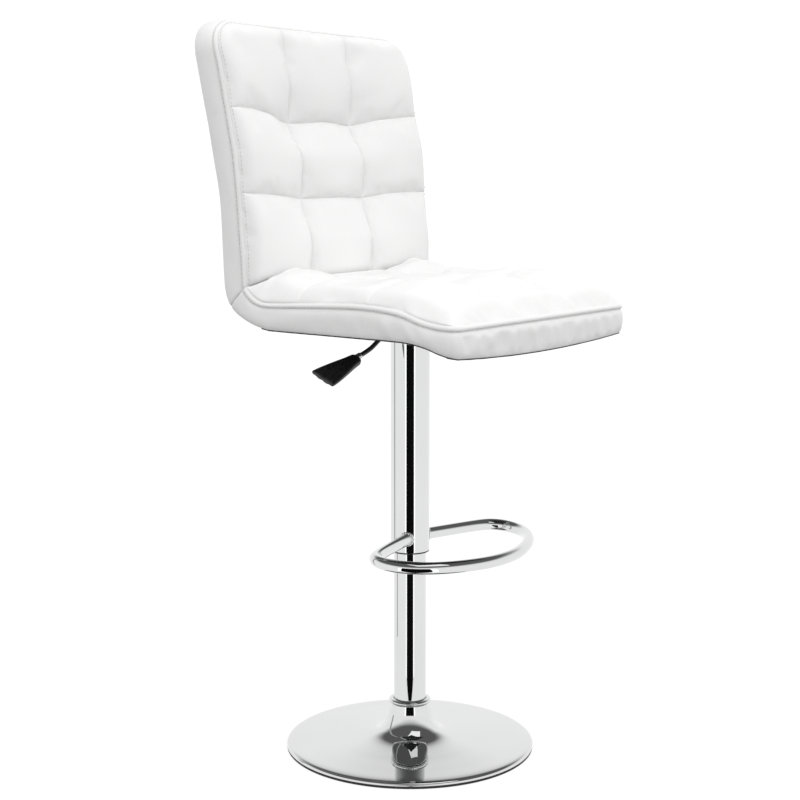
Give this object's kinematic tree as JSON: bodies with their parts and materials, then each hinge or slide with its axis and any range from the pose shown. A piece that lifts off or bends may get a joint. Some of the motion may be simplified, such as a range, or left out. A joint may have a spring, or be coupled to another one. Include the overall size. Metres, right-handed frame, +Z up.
{
  "type": "adjustable swivel stool",
  "caption": "High-backed upholstered bar stool on a gas-lift column with a swivel, a sliding sleeve with a looped footrest, a release lever and a round chromed trumpet base.",
  "frame": {"origin": "on the floor, on the column's axis", "axes": "+Z is up along the column, -Y is the way a sitter faces and +X is the sitter's left"},
  "size_m": [0.44, 0.48, 1.101],
  "materials": {
    "chrome": "polished",
    "zinc_steel": "satin",
    "black_steel": "satin",
    "black_plastic": "satin",
    "black_rubber": "matte",
    "white_leather": "satin",
    "foam": "matte",
    "plywood": "matte",
    "black_lining": "matte"
  },
  "bodies": {
    "base": {"base_shell": "chrome", "base_floor_ring": "black_rubber", "base_bottom_plate": "black_steel", "column_socket": "black_steel", "base_collar": "chrome", "column_tube": "chrome", "column_bottom_plate": "black_steel", "column_guide_bush": "black_plastic", "bearing_lower_race": "zinc_steel", "bearing_ball_cage": "zinc_steel"},
    "rod": {"piston_rod": "zinc_steel", "piston_head": "black_plastic", "retaining_clip": "zinc_steel", "bearing_upper_race": "zinc_steel", "rubber_buffer": "black_rubber"},
    "lift": {"gas_cylinder": "black_steel", "cylinder_rod_guide": "black_rubber", "taper_socket": "black_steel", "footrest_sleeve": "chrome", "sleeve_top_ring": "black_plastic", "sleeve_bottom_bush": "black_plastic", "footrest_bar": "chrome", "seat_mount_plate": "black_steel", "lever_bracket": "zinc_steel", "lever_pivot_pin": "zinc_steel", "mount_bolt_1": "zinc_steel", "mount_bolt_2": "zinc_steel", "mount_bolt_3": "zinc_steel", "mount_bolt_4": "zinc_steel", "mount_washer_1": "zinc_steel", "mount_washer_2": "zinc_steel", "mount_washer_3": "zinc_steel", "mount_washer_4": "zinc_steel", "t_nut_1": "zinc_steel", "t_nut_2": "zinc_steel", "t_nut_3": "zinc_steel", "t_nut_4": "zinc_steel", "plywood_shell": "plywood", "seat_foam": "foam", "back_foam": "foam", "seat_cover": "white_leather", "back_cover": "white_leather", "rear_cover": "white_leather", "dust_cover": "black_lining"},
    "lever": {"lever_rod": "black_steel", "lever_grip": "black_plastic"},
    "release_pin": {"release_pin": "zinc_steel"}
  },
  "joints": [
    {"name": "swivel", "type": "hinge", "parent": "base", "child": "rod", "pos_m": [0, 0, 0.0235], "axis": [0, 0, 1], "continuous": true},
    {"name": "height", "type": "slide", "parent": "rod", "child": "lift", "axis": [0, 0, 1], "range_m": [-0.21, 0]},
    {"name": "lever_lift", "type": "hinge", "parent": "lift", "child": "lever", "pos_m": [-0.028, 0, 0.6575], "axis": [0, 1, 0], "range_deg": [0, 5.5], "stiffness_Nm_per_rad": 2, "springref_deg": -5.73},
    {"name": "valve_pin", "type": "slide", "parent": "lift", "child": "release_pin", "axis": [0, 0, 1], "range_m": [-0.003, 0]}
  ],
  "couplings": [
    {"joint": "valve_pin", "follows": "lever_lift", "m_per_rad": -0.028}
  ]
}
